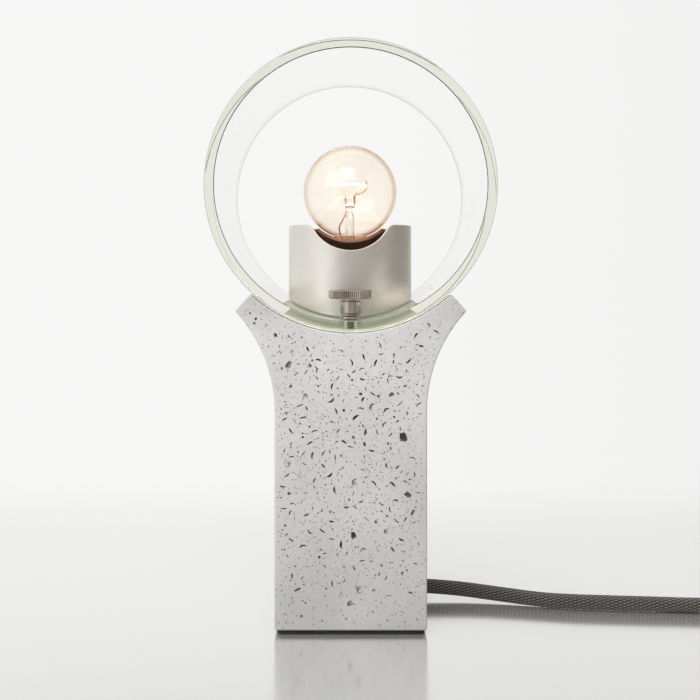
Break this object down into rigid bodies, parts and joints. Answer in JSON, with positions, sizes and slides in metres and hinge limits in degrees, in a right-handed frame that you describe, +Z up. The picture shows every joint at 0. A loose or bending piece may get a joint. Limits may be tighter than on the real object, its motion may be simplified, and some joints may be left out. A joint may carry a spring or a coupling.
{
  "type": "table lamp",
  "caption": "Table lamp: a clear glass tube shade lying in the cradle of a cast concrete column, with a metal housing, a globe bulb, a thumbscrew and a braided cord.",
  "frame": {"origin": "centre of the foot pad's underside, on the surface the lamp stands on, under the middle of the glass tube", "axes": "+Z up; -Y is the front, towards which one open end of the glass tube and the thumbscrew face; +X is the side where the cord leaves"},
  "size_m": [0.4667, 0.12, 0.2645],
  "materials": {
    "concrete": "cast, matte, with open pores",
    "foot": "matte",
    "shade_glass": "clear, fire-polished rims",
    "liner": "satin",
    "housing_metal": "satin, bead-blasted",
    "phenolic": "satin",
    "nickel": "polished nickel",
    "brass": "satin",
    "steel": "zinc plated",
    "rubber": "matte",
    "bulb_glass": "clear",
    "stem_glass": "clear",
    "copper_wire": "bright",
    "glowing_filament": "glowing",
    "braid": "braided textile",
    "black_plastic": "fine satin",
    "white_insulation": "satin"
  },
  "bodies": {
    "lamp": {"base_pad": "foot", "concrete_body": "concrete", "cover_plate": "steel", "cover_screw_1": "steel", "cover_screw_2": "steel", "cover_screw_3": "steel", "cover_screw_4": "steel", "cover_insert_1": "brass", "cover_insert_2": "brass", "cover_insert_3": "brass", "cover_insert_4": "brass", "tie_rod": "steel", "rod_washer": "steel", "rod_nut_lower": "brass", "screw_insert": "brass", "cradle_liner": "liner", "glass_shade": "shade_glass", "housing_gasket": "liner", "housing": "housing_metal", "rod_nut_upper": "brass", "lampholder": "phenolic", "screw_shell": "brass", "contact_blade": "brass", "saddle_washer": "nickel", "cord_bushing": "rubber", "clamp_screw_1": "steel", "clamp_screw_2": "steel", "cord_clamp": "black_plastic", "terminal_block": "white_insulation", "inner_cable": "rubber", "lead_wire_1": "phenolic", "lead_wire_2": "white_insulation", "cord_run_1": "braid", "switch_base": "black_plastic", "switch_cover": "black_plastic", "switch_sleeve_1": "rubber", "switch_sleeve_2": "rubber", "cord_run_2": "braid", "cord_coil": "braid", "cord_tie": "rubber", "cord_run_3": "braid", "plug_body": "black_plastic", "plug_sleeve": "rubber", "plug_pin_1": "nickel", "plug_pin_2": "nickel"},
    "screw_carrier": {"captive_washer": "nickel"},
    "screw": {"thumbscrew": "nickel"},
    "bulb_carrier": {"bulb_contact": "nickel"},
    "bulb": {"bulb_glass": "bulb_glass", "bulb_cap": "nickel", "bulb_insulator": "phenolic", "bulb_stem": "stem_glass", "support_wire_1": "copper_wire", "support_wire_2": "copper_wire", "filament": "glowing_filament"},
    "rocker": {"switch_rocker": "black_plastic"}
  },
  "joints": [
    {"name": "screw_lift", "type": "slide", "parent": "lamp", "child": "screw_carrier", "axis": [0, 0, 1], "range_m": [0, 0.008]},
    {"name": "screw_turn", "type": "hinge", "parent": "screw_carrier", "child": "screw", "pos_m": [0, -0.042, 0.14], "axis": [0, 0, 1], "range_deg": [0, 3600]},
    {"name": "bulb_lift", "type": "slide", "parent": "lamp", "child": "bulb_carrier", "axis": [0, 0, 1], "range_m": [0, 0.0141]},
    {"name": "bulb_turn", "type": "hinge", "parent": "bulb_carrier", "child": "bulb", "pos_m": [0, 0, 0.156], "axis": [0, 0, 1], "range_deg": [0, 1800]},
    {"name": "rocker_tip", "type": "hinge", "parent": "lamp", "child": "rocker", "pos_m": [0.255, -0.028, 0.0132], "axis": [0, -1, 0], "range_deg": [0, 16]}
  ],
  "couplings": [
    {"joint": "screw_turn", "follows": "screw_lift", "rad_per_m": 7853.9},
    {"joint": "bulb_turn", "follows": "bulb_lift", "rad_per_m": 2226.5}
  ]
}
